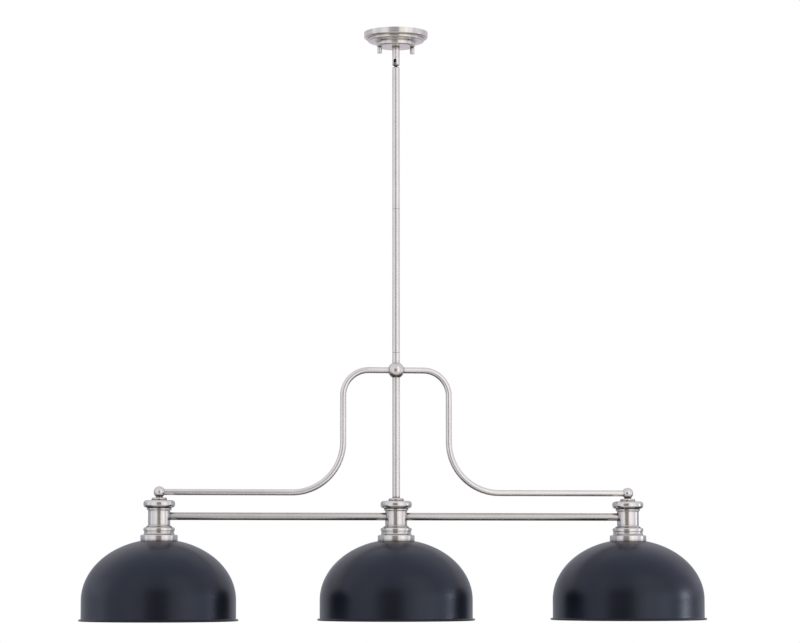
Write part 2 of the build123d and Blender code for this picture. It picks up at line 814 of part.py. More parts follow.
shade_hole = socket_radius + shade_hole_clearance
dome_rise = shade_dome_height / sqrt(1 - (shade_flat_radius / shade_radius) ** 2)
inner_rise = dome_rise - shade_sheet
inner_radius = shade_radius - shade_sheet
outer_turn = degrees(acos(shade_flat_radius / shade_radius))
inner_turn = degrees(asin((shade_dome_height - shade_sheet) / inner_rise))
roll_radius = shade_rim_height / 2
for side in lamp_sides:
    x = lamp_x(side)
    with BuildPart() as shade:
        with BuildSketch(upright(x)):
            with BuildLine():
                outer = EllipticalCenterArc((0, shade_spring), shade_radius, dome_rise, arc_size=outer_turn)
                inner = EllipticalCenterArc((0, shade_spring), inner_radius, inner_rise, arc_size=inner_turn)
                skirt = FilletPolyline(
                    outer @ 0,
                    (shade_radius, shade_rim_top),
                    (shade_rim_radius - roll_radius, shade_rim_top),
                    radius=shade_rim_fillet,
                )
                roll = ThreePointArc(
                    skirt @ 1,
                    (shade_rim_radius, shade_bottom + roll_radius),
                    (shade_rim_radius - roll_radius, shade_bottom),
                )
                Polyline(roll @ 1, (inner_radius, shade_bottom), inner @ 0)
                Polyline(inner @ 1, (shade_hole, shade_top - shade_sheet), (shade_hole, shade_top), outer @ 1)
            make_face()
        revolve(axis=lamp_axis(x))
    keep(shade.part, f"shade_{side}")

    with BuildPart() as shade_ring:
        with BuildSketch(Plane.XY.offset(shade_top - shade_sheet)):
            with Locations((x, 0)):
                Circle(shade_ring_radius)
                Circle(socket_radius + thread_clearance, mode=Mode.SUBTRACT)
                with PolarLocations(shade_ring_radius, shade_ring_notches):
                    Circle(shade_ring_notch_radius, mode=Mode.SUBTRACT)
        extrude(amount=-shade_ring_height)
    keep(shade_ring.part, f"shade_ring_{side}")

# Wiring: leads in the canopy, the supply cable down the rods and a branch to each socket

with BuildPart() as feed_leads:
    for azimuth in lead_azimuths:
        out = Vector(cos(radians(azimuth)), sin(radians(azimuth)), 0)
        foot = out * lead_offset + Vector(0, 0, canopy_bottom - swivel_plug_length - lead_tail)
        with BuildLine() as lead_path:
            FilletPolyline(
                foot,
                out * lead_offset + Vector(0, 0, -lead_drop),
                out * lead_reach + Vector(0, 0, -lead_drop),
                radius=lead_bend,
            )
        with BuildSketch(Plane(origin=foot)):
            Circle(lead_radius)
        sweep(path=lead_path.wire())
keep(feed_leads.part, "feed_leads")

wire_nut_taper = degrees(atan((wire_nut_mouth_radius - wire_nut_tip_radius) / wire_nut_length))
with BuildPart() as wire_nuts:
    for azimuth in lead_azimuths:
        out = Vector(cos(radians(azimuth)), sin(radians(azimuth)), 0)
        mouth = out * (lead_reach - wire_nut_overlap) + Vector(0, 0, -lead_drop)
        mouth_plane = Plane(origin=mouth, z_dir=out)
        with BuildSketch(mouth_plane):
            Circle(wire_nut_mouth_radius)
        extrude(amount=wire_nut_length, taper=wire_nut_taper)
        with BuildSketch(mouth_plane):
            Circle(lead_radius + thread_clearance)
        extrude(amount=wire_nut_overlap, mode=Mode.SUBTRACT)
keep(wire_nuts.part, "wire_nuts")

with BuildPart() as terminal_block:
    with Locations((0, 0, bar_z)):
        Box(terminal_block_length, terminal_block_width, terminal_block_height)
keep(terminal_block.part, "terminal_block")

block_half_length = terminal_block_length / 2
block_half_height = terminal_block_height / 2
with BuildPart() as supply_cable:
    with BuildSketch(Plane.XY.offset(bar_z + block_half_height)):
        Circle(supply_cable_radius)
    extrude(amount=head_top - bar_z - block_half_height)
keep(supply_cable.part, "supply_cable")

with BuildPart() as branch_cables:
    for sign in (-1, 1):
        with BuildLine() as branch_path:
            FilletPolyline(
                (sign * block_half_length, 0, bar_z),
                (sign * lamp_spacing, 0, bar_z),
                (sign * lamp_spacing, 0, chamber_floor),
                radius=branch_cable_bend,
            )
        with BuildSketch(Plane.YZ.offset(sign * block_half_length)):
            with Locations((0, bar_z)):
                Circle(branch_cable_radius)
        sweep(path=branch_path.wire())
    with BuildSketch(Plane.XY.offset(bar_z - block_half_height)):
        Circle(branch_cable_radius)
    extrude(amount=chamber_floor - bar_z + block_half_height)
keep(branch_cables.part, "branch_cables")
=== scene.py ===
import math

import bpy
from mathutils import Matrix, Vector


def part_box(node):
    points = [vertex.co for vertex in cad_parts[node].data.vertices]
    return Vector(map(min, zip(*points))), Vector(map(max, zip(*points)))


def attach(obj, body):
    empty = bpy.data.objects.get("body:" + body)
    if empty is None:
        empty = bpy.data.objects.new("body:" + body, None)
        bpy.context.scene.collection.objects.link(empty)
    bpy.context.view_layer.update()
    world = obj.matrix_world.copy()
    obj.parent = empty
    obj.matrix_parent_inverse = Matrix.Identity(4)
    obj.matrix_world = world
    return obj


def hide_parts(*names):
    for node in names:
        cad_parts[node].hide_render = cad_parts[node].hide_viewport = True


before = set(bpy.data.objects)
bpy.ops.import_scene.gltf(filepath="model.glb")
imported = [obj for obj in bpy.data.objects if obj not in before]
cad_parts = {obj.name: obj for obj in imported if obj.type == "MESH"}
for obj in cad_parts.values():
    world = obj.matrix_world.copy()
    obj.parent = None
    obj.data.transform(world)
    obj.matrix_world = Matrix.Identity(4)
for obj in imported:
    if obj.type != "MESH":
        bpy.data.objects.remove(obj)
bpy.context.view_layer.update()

MM = 0.001
LAMPS = ("left", "centre", "right")
WELD = 0.001 * MM
SMOOTH_UP_TO = math.radians(35)


# Materials


def linear(hex_colour):
    """Turns an sRGB hex colour into the linear RGBA that shader sockets take."""
    channels = [int(hex_colour[i:i + 2], 16) / 255 for i in (1, 3, 5)]
    return [c / 12.92 if c <= 0.04045 else ((c + 0.055) / 1.055) ** 2.4 for c in channels] + [1.0]


def add_node(tree, kind, inputs=(), **settings):
    """Adds one node to a tree, sets its properties, and sets or links its inputs by name or number."""
    node = tree.nodes.new(kind)
    for name, value in settings.items():
        setattr(node, name, value)
    for name, value in dict(inputs).items():
        if isinstance(value, bpy.types.NodeSocket):
            tree.links.new(value, node.inputs[name])
        else:
            node.inputs[name].default_value = value
    return node


def empty_material(name):
    """Makes a material with no nodes, and returns it with its tree."""
    material = bpy.data.materials.new(name)
    material.use_nodes = True
    material.node_tree.nodes.clear()
    return material, material.node_tree


def per_metre(size_mm):
    """How many repeats of a real size in millimetres fit in a metre."""
    return 1 / (size_mm * MM)


# Painted shade in creases: how far ambient occlusion looks, and the occlusion over which the darkening fades
# out
CREASE_SHADE_REACH = 7.0 * MM
CREASE_SHADE_RANGE = (0.42, 0.95)
TONE_RANGE = (0.12, 0.42)
GLOSS_RANGE = (0.1, 0.45)
GLOSS_DRIFT = 0.02
SCRATCH_DEPTH = 0.02 * MM
SCRATCH_STRENGTH = 0.008
SMEAR = 0.8


def brushed_metal(name, light, dark, line_mm, run_mm, roughness, lines_along=None, crease_shade_tone="#2E2925"):
    """Plated metal finished with a fine abrasive belt. The eye sees hair lines along one direction, which
    spread each highlight across them, and faint cloudy patches where the belt pressed less. Each crease that
    ambient occlusion finds is darkened towards crease_shade_tone, as painted shade.
    line_mm is how far apart the hair lines are along X, Y and Z, so a long size runs along the lines.
    lines_along is the direction of a drawn tube's lines, which smear its reflections round the tube."""
    material, tree = empty_material(name)
    coordinates = add_node(tree, "ShaderNodeTexCoord").outputs["Object"]
    stretch = add_node(tree, "ShaderNodeMapping", {
        "Vector": coordinates,
        "Scale": [per_metre(size) for size in line_mm],
    })
    hair = add_node(tree, "ShaderNodeTexNoise", {
        "Vector": stretch.outputs["Vector"], "Scale": 1.0, "Detail": 3.0, "Roughness": 0.6,
    })
    cloud = add_node(tree, "ShaderNodeTexNoise", {
        "Vector": coordinates, "Scale": per_metre(run_mm), "Detail": 2.0,
    })
    tone = add_node(tree, "ShaderNodeMath", {
        0: hair.outputs["Fac"], 1: cloud.outputs["Fac"],
    }, operation="MULTIPLY")
    colour = add_node(tree, "ShaderNodeValToRGB", {"Fac": tone.outputs["Value"]})
    for stop, position, shade in zip(colour.color_ramp.elements, TONE_RANGE, (dark, light)):
        stop.position = position
        stop.color = linear(shade)
    # Painted shade: creases that ambient occlusion finds are darkened towards crease_shade_tone
    shade_finder = add_node(tree, "ShaderNodeAmbientOcclusion", {"Distance": CREASE_SHADE_REACH}, samples=8)
    unshaded_share = add_node(tree, "ShaderNodeMapRange", {
        "Value": shade_finder.outputs["AO"], "From Min": CREASE_SHADE_RANGE[0], "From Max": CREASE_SHADE_RANGE[1],
    })
    shaded_colour = add_node(tree, "ShaderNodeMix", {
        "Factor": unshaded_share.outputs["Result"], "A": linear(crease_shade_tone), "B": colour.outputs["Color"],
    }, data_type="RGBA")
    gloss = add_node(tree, "ShaderNodeMapRange", {
        "Value": tone.outputs["Value"], "From Min": GLOSS_RANGE[0], "From Max": GLOSS_RANGE[1],
        "To Min": roughness + GLOSS_DRIFT, "To Max": roughness - GLOSS_DRIFT,
    })
    bump = add_node(tree, "ShaderNodeBump", {
        "Height": hair.outputs["Fac"], "Strength": SCRATCH_STRENGTH, "Distance": SCRATCH_DEPTH,
    })
    shader = add_node(tree, "ShaderNodeBsdfPrincipled", {
        "Base Color": shaded_colour.outputs["Result"], "Metallic": 1.0,
        "Roughness": gloss.outputs["Result"], "Normal": bump.outputs["Normal"],
    })
    if lines_along:
        surface = add_node(tree, "ShaderNodeNewGeometry")
        round_tube = add_node(tree, "ShaderNodeVectorMath", {
            0: surface.outputs["Normal"], 1: lines_along,
        }, operation="CROSS_PRODUCT")
        tree.links.new(round_tube.outputs["Vector"], shader.inputs["Tangent"])
        shader.inputs["Anisotropic"].default_value = SMEAR
    add_node(tree, "ShaderNodeOutputMaterial", {"Surface": shader.outputs["BSDF"]})
    return material


PEEL_DEPTH = 0.1 * MM
PEEL_STRENGTH = 0.08
DRIFT_SIZE = 90.0
DRIFT_RANGE = (0.3, 0.7)
COAT_DRIFT = 0.03


def coated(name, light, dark, grain_mm, roughness, sheen="#FFFFFF"):
    """Powder coat or enamel over sheet, or moulded plastic. The eye sees an even colour with a faint orange
    peel that softens each reflection, and roughness that drifts a little across the piece."""
    material, tree = empty_material(name)
    coordinates = add_node(tree, "ShaderNodeTexCoord").outputs["Object"]
    grain = add_node(tree, "ShaderNodeTexNoise", {
        "Vector": coordinates, "Scale": per_metre(grain_mm), "Detail": 3.0, "Roughness": 0.55,
    })
    drift = add_node(tree, "ShaderNodeTexNoise", {
        "Vector": coordinates, "Scale": per_metre(DRIFT_SIZE), "Detail": 2.0,
    })
    colour = add_node(tree, "ShaderNodeMix", {
        "Factor": drift.outputs["Fac"], "A": linear(dark), "B": linear(light),
    }, data_type="RGBA")
    gloss = add_node(tree, "ShaderNodeMapRange", {
        "Value": drift.outputs["Fac"], "From Min": DRIFT_RANGE[0], "From Max": DRIFT_RANGE[1],
        "To Min": roughness - COAT_DRIFT, "To Max": roughness + COAT_DRIFT,
    })
    bump = add_node(tree, "ShaderNodeBump", {
        "Height": grain.outputs["Fac"], "Strength": PEEL_STRENGTH, "Distance": PEEL_DEPTH,
    })
    shader = add_node(tree, "ShaderNodeBsdfPrincipled", {
        "Base Color": colour.outputs["Result"], "Roughness": gloss.outputs["Result"],
        "Normal": bump.outputs["Normal"], "Specular Tint": linear(sheen),
    })
    add_node(tree, "ShaderNodeOutputMaterial", {"Surface": shader.outputs["BSDF"]})
    return material


NICKEL_LIGHT = "#E2DBD4"
NICKEL_DARK = "#DBD3CC"
SATIN = 0.19
DRAWN = 0.27
# Real belt scratches are about 0.1 mm apart, too fine to show, so they are drawn 0.7 mm apart
HAIR = 0.7
ALONG = 120.0

# Satin nickel on turned pieces: warm grey, with level lines that leave upright reflections crisp
nickel_turned = brushed_metal(
    "satin_nickel_turned", NICKEL_LIGHT, NICKEL_DARK, (ALONG, ALONG, HAIR), 25.0, SATIN)
# Satin nickel on the canopy: the same, with the painted shade in its creases kept pale, as light from below
# fills its wide, open steps
nickel_canopy = brushed_metal(
    "satin_nickel_canopy", NICKEL_LIGHT, NICKEL_DARK, (ALONG, ALONG, HAIR), 25.0, SATIN,
    crease_shade_tone="#B0A79E")
# Satin nickel on upright tubes: painted paler than on the turned pieces, as painted light, with lines along
# the tube that spread each reflection round it
nickel_upright = brushed_metal(
    "satin_nickel_upright", "#EDE6DF", "#E6DED7", (HAIR, HAIR, ALONG), 40.0, 0.26,
    lines_along=(0, 0, 1))
# Satin nickel on the level bars: painted greyer than on the turned pieces, as painted shade, with a soft band
# of light over a dark lower edge
nickel_level = brushed_metal(
    "satin_nickel_level", "#CEC7C0", "#C6BFB8", (ALONG, HAIR, HAIR), 40.0, DRAWN,
    lines_along=(1, 0, 0))
# Satin nickel on the bent arms: painted paler than on the turned pieces, as painted light, with a band of
# light that follows each bend
nickel_bent = brushed_metal(
    "satin_nickel_bent", "#ECE5DE", "#E5DDD6", (ALONG, HAIR, ALONG), 40.0, DRAWN,
    lines_along=(1, 0, 0))
# Zinc-plated steel: cool grey and duller than the nickel, with short lines from the rolled stock
zinc_plate = brushed_metal("zinc_plated_steel", "#B9BBB8", "#9DA09C", (30.0, 0.8, 30.0), 12.0, 0.36)
# Spun brass: warm yellow with fine level lines
bare_brass = brushed_metal("spun_brass", "#C9A765", "#B08C4C", (ALONG, ALONG, 0.5), 12.0, 0.28)
# Malleable iron: dark grey and nearly dull, with the even grain of a sand casting
cast_iron = brushed_metal("malleable_iron", "#6C6A66", "#53514E", (1.5, 1.5, 1.5), 8.0, 0.55)
# Green dyed steel: dark green with the steel's lines still showing
green_dye = brushed_metal("green_dyed_steel", "#2F6B45", "#255738", (30.0, 0.8, 30.0), 6.0, 0.38)
# Powder coat on the shades: navy black, satin, so that panels show in it as wide, blurred patches
black_coat = coated("black_powder_coat", "#07091A", "#060816", 1.4, 0.33, sheen="#E8F0FF")
# Enamel inside the shades: creamy white, even and softly shiny
white_enamel = coated("white_enamel", "#EFEDE8", "#E8E6E0", 1.4, 0.32)
# Phenolic sockets and rings: brownish black with the low shine of a press mould
phenolic = coated("black_phenolic", "#1B1A19", "#141312", 0.8, 0.42)
# Cable jacket: black and rubbery, almost without shine
jacket = coated("cable_jacket", "#1D1D1D", "#151515", 0.9, 0.5)
# Orange nylon: strong colour with a soft moulded shine
wire_nut_plastic = coated("orange_nylon", "#C8641E", "#B95915", 1.0, 0.4)
# White nylon: off-white, soft and slightly dull
terminal_plastic = coated("white_nylon", "#DEDCD2", "#D2D0C5", 1.0, 0.45)

FINISHES = {
    nickel_canopy: ["canopy"],
    nickel_turned: ["cap_nut_left", "cap_nut_right", "hub_ball", "end_ball_left", "end_ball_right",
                    "holder_collars"],
    nickel_upright: ["swivel_housing", "rod_upper", "rod_lower", "hub_stub", "centre_stem"],
    nickel_level: ["bar_left", "bar_right"],
    nickel_bent: ["arm_left", "arm_right"],
    zinc_plate: ["mounting_bracket", "bracket_studs", "stud_locknuts", "swivel_nipple", "swivel_washer",
                 "swivel_locknut", "swivel_ball", "swivel_stem", "rod_nipples", "hub_nipple",
                 "bar_nipples", "bar_locknuts", "holder_nipples", "cup_locknuts"],
    bare_brass: ["socket_contacts"],
    cast_iron: ["holder_hickeys"],
    jacket: ["feed_leads", "supply_cable", "branch_cables"],
    terminal_plastic: ["terminal_block"],
    green_dye: ["ground_screw"],
    phenolic: [],
}
for lamp in LAMPS:
    FINISHES[nickel_turned] += [f"holder_ring_{lamp}", f"holder_column_{lamp}", f"holder_cup_{lamp}"]
    FINISHES[phenolic] += [f"shade_ring_{lamp}"]
for finish, names in FINISHES.items():
    for name in names:
        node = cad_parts[name]
        node.data.materials.clear()
        node.data.materials.append(finish)


# Shades, sockets and screw shells, each modelled for the middle lamp and copied to the other two


def drawn(name, outline):
    """Draws a line through (radius, height) points in millimetres, beside the middle lamp's axis."""
    bpy.ops.object.select_all(action="DESELECT")
    bpy.ops.mesh.primitive_plane_add(size=MM, location=(outline[0][0] * MM, 0, outline[0][1] * MM))
    piece = bpy.context.object
    piece.name = name
    bpy.ops.object.mode_set(mode="EDIT")
    bpy.ops.mesh.merge(type="CENTER")
    for here, there in zip(outline, outline[1:]):
        step = ((there[0] - here[0]) * MM, 0, (there[1] - here[1]) * MM)
        bpy.ops.mesh.extrude_vertices_move(TRANSFORM_OT_translate={"value": step})
    bpy.ops.mesh.select_all(action="SELECT")
    bpy.ops.mesh.remove_doubles(threshold=WELD)
    bpy.ops.object.mode_set(mode="OBJECT")
    bpy.ops.object.transform_apply(location=True, rotation=False, scale=False)
    return piece


def turned(name, outline, steps=96):
    """Turns an outline of (radius, height) points round the middle lamp's axis, as on a lathe."""
    piece = drawn(name, outline)
    bpy.ops.object.mode_set(mode="EDIT")
    bpy.ops.mesh.select_all(action="SELECT")
    bpy.ops.mesh.spin(steps=steps, angle=2 * math.pi, center=(0, 0, 0), axis=(0, 0, 1))
    bpy.ops.mesh.select_all(action="SELECT")
    bpy.ops.mesh.remove_doubles(threshold=WELD)
    bpy.ops.mesh.normals_make_consistent(inside=False)
    bpy.ops.object.mode_set(mode="OBJECT")
    bpy.ops.object.shade_smooth_by_angle(angle=SMOOTH_UP_TO)
    return piece


def arc(centre, radii, start, end, count):
    """Points along an elliptical arc, from a start angle to an end angle in degrees."""
    angles = [math.radians(start + (end - start) * i / count) for i in range(count + 1)]
    return [(centre[0] + radii[0] * math.cos(a), centre[1] + radii[1] * math.sin(a)) for a in angles]


def copied(piece, name, shift):
    """A copy of a piece with its own mesh, moved along the row of lamps."""
    bpy.ops.object.select_all(action="DESELECT")
    piece.select_set(True)
    bpy.context.view_layer.objects.active = piece
    bpy.ops.object.duplicate_move(
        OBJECT_OT_duplicate={"linked": False}, TRANSFORM_OT_translate={"value": (shift, 0, 0)})
    copy = bpy.context.object
    copy.name = name
    bpy.ops.object.transform_apply(location=True, rotation=False, scale=False)
    return copy


def for_each_lamp(middle, name):
    """The middle lamp's piece and a copy of it at each other lamp, by lamp."""
    return {
        lamp: middle if lamp == "centre" else copied(middle, f"{name}_{lamp}", LAMP_SHIFT[lamp])
        for lamp in LAMPS}


def joined(pieces):
    """Joins pieces into the first one, which stays selected."""
    bpy.ops.object.select_all(action="DESELECT")
    for piece in pieces:
        piece.select_set(True)
    bpy.context.view_layer.objects.active = pieces[0]
    bpy.ops.object.join()


shade_low, shade_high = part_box("shade_centre")
lamp_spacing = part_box("shade_right")[1][0] - shade_high[0]
LAMP_SHIFT = {"left": -lamp_spacing, "centre": 0.0, "right": lamp_spacing}

SHADE_TOP = shade_high[2] / MM
SHADE_BOTTOM = shade_low[2] / MM
SHADE_RADIUS = 160.0
SHADE_FLAT_RADIUS = 39.5
SHADE_HOLE = 20.6
SHADE_SHEET = 1.0
DOME_HEIGHT = 122.6
DOME_STEPS = 40
ROLL_RADIUS = 2.0
ROLL_FILLET = 1.5
ROLL_CENTRE = 163.1
ROLL_SEAM = 0.7
dome_foot = SHADE_TOP - DOME_HEIGHT
dome_rise = DOME_HEIGHT / math.sqrt(1 - (SHADE_FLAT_RADIUS / SHADE_RADIUS) ** 2)
inner_radius = SHADE_RADIUS - SHADE_SHEET
inner_rise = dome_rise - SHADE_SHEET
outer_turn = math.degrees(math.acos(SHADE_FLAT_RADIUS / SHADE_RADIUS))
inner_turn = math.degrees(math.asin((DOME_HEIGHT - SHADE_SHEET) / inner_rise))
roll_top = SHADE_BOTTOM + 2 * ROLL_RADIUS

# Spun sheet: a flat under the cup, a dome, a straight skirt, and a rim rolled outwards with a fine seam
shade_outline = (
    [(SHADE_HOLE, SHADE_TOP)]
    + arc((0, dome_foot), (SHADE_RADIUS, dome_rise), outer_turn, 0, DOME_STEPS)
    + arc((SHADE_RADIUS + ROLL_FILLET, roll_top + ROLL_FILLET), (ROLL_FILLET, ROLL_FILLET), 180, 270, 6)
    + arc((ROLL_CENTRE, SHADE_BOTTOM + ROLL_RADIUS), (ROLL_RADIUS, ROLL_RADIUS), 90, -150, 20)
    + [(SHADE_RADIUS + ROLL_SEAM, SHADE_BOTTOM + ROLL_RADIUS),
       (SHADE_RADIUS + ROLL_SEAM / 2, SHADE_BOTTOM + ROLL_SEAM),
       (SHADE_RADIUS - SHADE_SHEET / 2, SHADE_BOTTOM + ROLL_SEAM),
       (inner_radius, SHADE_BOTTOM + 2 * ROLL_SEAM)]
    + arc((0, dome_foot), (inner_radius, inner_rise), 0, inner_turn, DOME_STEPS)
    + [(SHADE_HOLE, SHADE_TOP - SHADE_SHEET), (SHADE_HOLE, SHADE_TOP)]
)
middle_shade = turned("spun_shade_centre", shade_outline, steps=128)
middle_shade.data.materials.append(black_coat)
middle_shade.data.materials.append(white_enamel)
for face in middle_shade.data.polygons:
    reach = math.hypot(face.center.x, face.center.y)
    faces_axis = face.normal.x * face.center.x + face.normal.y * face.center.y < 0
    faces_down = face.normal.z < -0.5
    if (faces_axis or faces_down) and reach < (SHADE_RADIUS - SHADE_SHEET / 2) * MM:
        face.material_index = 1
shades = for_each_lamp(middle_shade, "spun_shade")
for lamp, shade in shades.items():
    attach(shade, "pendant")
    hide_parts(f"shade_{lamp}")

socket_low, socket_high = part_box("socket_centre")
shell_low, shell_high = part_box("screw_shells")
SOCKET_TOP = socket_high[2] / MM
SOCKET_BOTTOM = socket_low[2] / MM
SHELL_TOP = shell_high[2] / MM
SHELL_BOTTOM = shell_low[2] / MM
SOCKET_RADIUS = 19.9
SOCKET_CAVITY = 13.85
CONTACT_WELL = 9.0
CONTACT_WELL_TOP = SHELL_TOP + 4.0
PIPE_HOLE = 4.9
PIPE_END = SOCKET_TOP - 8.0
CHAMBER_RADIUS = 8.0
CHAMBER_FLOOR = PIPE_END - 5.0
THREAD_DEPTH = 0.6
THREAD_PITCH = 2.6
THREAD_COUNT = 12
EDGE = 0.8

# Moulded body with a coarse thread for the shade ring, a rounded mouth, and a well for the contact
thread_root = SOCKET_RADIUS - THREAD_DEPTH
thread = []
for turn in range(THREAD_COUNT):
    crest = SHADE_TOP - turn * THREAD_PITCH
    thread += [
        (SOCKET_RADIUS, crest), (thread_root, crest - 0.3 * THREAD_PITCH),
        (thread_root, crest - 0.5 * THREAD_PITCH), (SOCKET_RADIUS, crest - 0.8 * THREAD_PITCH)]
socket_outline = (
    [(0, CHAMBER_FLOOR), (CHAMBER_RADIUS, CHAMBER_FLOOR), (CHAMBER_RADIUS, PIPE_END), (PIPE_HOLE, PIPE_END),
     (PIPE_HOLE, SOCKET_TOP), (SOCKET_RADIUS - EDGE, SOCKET_TOP), (SOCKET_RADIUS, SOCKET_TOP - EDGE)]
    + thread
    + arc((SOCKET_RADIUS - EDGE, SOCKET_BOTTOM + EDGE), (EDGE, EDGE), 0, -90, 5)
    + arc((SOCKET_CAVITY + EDGE, SOCKET_BOTTOM + EDGE), (EDGE, EDGE), -90, -180, 5)
    + [(SOCKET_CAVITY, SHELL_TOP), (CONTACT_WELL, SHELL_TOP), (CONTACT_WELL, CONTACT_WELL_TOP),
       (0, CONTACT_WELL_TOP)]
)
middle_socket = turned("moulded_socket_centre", socket_outline)
middle_socket.data.materials.append(phenolic)
for lamp, socket in for_each_lamp(middle_socket, "moulded_socket").items():
    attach(socket, "pendant")
    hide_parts(f"socket_{lamp}")

SHELL_RADIUS = 13.0
SHELL_SHEET = 0.3
LAMP_PITCH = 3.63
LAMP_TURNS = 9
LAMP_THREAD_RISE = 0.5
LAMP_THREAD_STEPS = 10

# Drawn brass shell: one wave of the lamp thread, screwed up the axis, cut level at both ends, closed to
# the well
wave = [
    (SHELL_RADIUS + LAMP_THREAD_RISE * math.cos(2 * math.pi * i / LAMP_THREAD_STEPS),
     SHELL_BOTTOM - 2 * LAMP_PITCH + LAMP_PITCH * i / LAMP_THREAD_STEPS)
    for i in range(LAMP_THREAD_STEPS + 1)]
shells = drawn("threaded_shells", wave)
screw = shells.modifiers.new("lamp_thread", "SCREW")
screw.axis = "Z"
screw.screw_offset = LAMP_PITCH * MM
screw.iterations = LAMP_TURNS
screw.steps = screw.render_steps = 64
screw.use_smooth_shade = True
bpy.ops.object.modifier_apply(modifier=screw.name)
bpy.ops.object.mode_set(mode="EDIT")
bpy.ops.mesh.select_all(action="SELECT")
bpy.ops.mesh.remove_doubles(threshold=10 * WELD)
bpy.ops.mesh.select_all(action="SELECT")
bpy.ops.mesh.bisect(
    plane_co=(0, 0, SHELL_BOTTOM * MM), plane_no=(0, 0, 1), clear_inner=True)
bpy.ops.mesh.select_all(action="SELECT")
bpy.ops.mesh.bisect(
    plane_co=(0, 0, (SHELL_TOP - SHELL_SHEET) * MM), plane_no=(0, 0, 1), clear_outer=True)
bpy.ops.mesh.extrude_edges_move(TRANSFORM_OT_translate={"value": (0, 0, 0)})
well = CONTACT_WELL / SHELL_RADIUS
bpy.ops.transform.resize(value=(well, well, 1), center_override=(0, 0, SHELL_TOP * MM))
bpy.ops.mesh.select_all(action="SELECT")
bpy.ops.mesh.normals_make_consistent(inside=False)
bpy.ops.object.mode_set(mode="OBJECT")
wall = shells.modifiers.new("sheet", "SOLIDIFY")
wall.thickness = SHELL_SHEET * MM
wall.offset = 0.0
bpy.ops.object.modifier_apply(modifier=wall.name)
bpy.ops.object.shade_smooth_by_angle(angle=SMOOTH_UP_TO)
shells.data.materials.append(bare_brass)
joined([shells] + [copied(shells, f"shell_{lamp}", LAMP_SHIFT[lamp]) for lamp in ("left", "right")])
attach(shells, "pendant")
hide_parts("screw_shells")


# Wire nuts, modelled upright and laid at the ends of the leads

nut_low, nut_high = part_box("wire_nuts")
NUT_LENGTH = 18.0
NUT_MOUTH = nut_high[1] - NUT_LENGTH * MM
NUT_HEIGHT = (nut_low[2] + nut_high[2]) / 2
NUT_AZIMUTHS = (90.0, 30.0, 150.0)
NUT_STEPS = 48
NUT_RIBS = 12
NUT_CORE = 2.0
FLUTE = 0.86
GRIP_START = 4.0
GRIP_END = 15.6
TIP_START = 15.9
TIP_RADIUS = 2.9
NEAR = 0.1

# Twist-on wire nut: a flared mouth in a plain skirt, a fluted grip and a round tip
nut_outline = (
    [(0, 6.0), (1.1, 6.0), (1.1, 3.0), (3.4, 0.4), (3.8, 0), (4.3, 0), (4.6, 0.3), (4.3, 3.4),
     (4.02, GRIP_START), (3.1, GRIP_END)]
    + arc((0, TIP_START), (TIP_RADIUS, NUT_LENGTH - TIP_START), 0, 90, 6)
)
nuts = turned("ribbed_wire_nuts", nut_outline, steps=NUT_STEPS)
bpy.ops.object.mode_set(mode="EDIT")
bpy.ops.mesh.select_mode(type="VERT")
bpy.ops.mesh.select_all(action="DESELECT")
bpy.ops.object.mode_set(mode="OBJECT")
for vertex in nuts.data.vertices:
    step = round(math.atan2(vertex.co.y, vertex.co.x) * NUT_STEPS / (2 * math.pi))
    on_outside = math.hypot(vertex.co.x, vertex.co.y) > NUT_CORE * MM
    on_grip = GRIP_START - NEAR < vertex.co.z / MM < GRIP_END + NEAR
    in_flute = step % (NUT_STEPS // NUT_RIBS) < 2
    vertex.select = on_outside and on_grip and in_flute
bpy.ops.object.mode_set(mode="EDIT")
bpy.ops.transform.resize(value=(FLUTE, FLUTE, 1), center_override=(0, 0, 0))
bpy.ops.object.mode_set(mode="OBJECT")
nuts.data.materials.append(wire_nut_plastic)
row = [nuts] + [copied(nuts, f"wire_nut_{azimuth:.0f}", 0) for azimuth in NUT_AZIMUTHS[1:]]
for nut, azimuth in zip(row, NUT_AZIMUTHS):
    turn = math.radians(azimuth)
    nut.rotation_euler = (0, math.pi / 2, turn)
    nut.location = (NUT_MOUTH * math.cos(turn), NUT_MOUTH * math.sin(turn), NUT_HEIGHT)
bpy.context.view_layer.update()
joined(row)
bpy.ops.object.transform_apply(location=True, rotation=True, scale=False)
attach(nuts, "ceiling_mount")
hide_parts("wire_nuts")


# Stage: camera, floor, cards and lights

CAMERA_DISTANCE = 5.777
CAMERA_HEIGHT = -1.1437
CAMERA_AZIMUTH = math.radians(7.5)
CAMERA_PITCH = math.radians(5.205)
CAMERA_TURN = math.radians(0.079)
CAMERA_ROLL = math.radians(0.04)
CAMERA_LENS = 123.75
camera_data = bpy.data.cameras.new("camera")
camera_data.sensor_width = 36.0
camera_data.sensor_fit = "HORIZONTAL"
camera_data.lens = CAMERA_LENS
camera_data.clip_end = 100.0
camera = bpy.data.objects.new("camera", camera_data)
bpy.context.collection.objects.link(camera)
camera.location = (
    -CAMERA_DISTANCE * math.sin(CAMERA_AZIMUTH), -CAMERA_DISTANCE * math.cos(CAMERA_AZIMUTH), CAMERA_HEIGHT)
camera.rotation_euler = (math.pi / 2 + CAMERA_PITCH, CAMERA_ROLL, -CAMERA_AZIMUTH - CAMERA_TURN)
bpy.context.scene.camera = camera

FILL_LEVEL = 0.7
MIRROR_LEVEL = 1.15
WORLD_MIRROR_LEVEL = 0.98
FLOOR_HEIGHT = -2.3
UPRIGHT = math.pi / 2


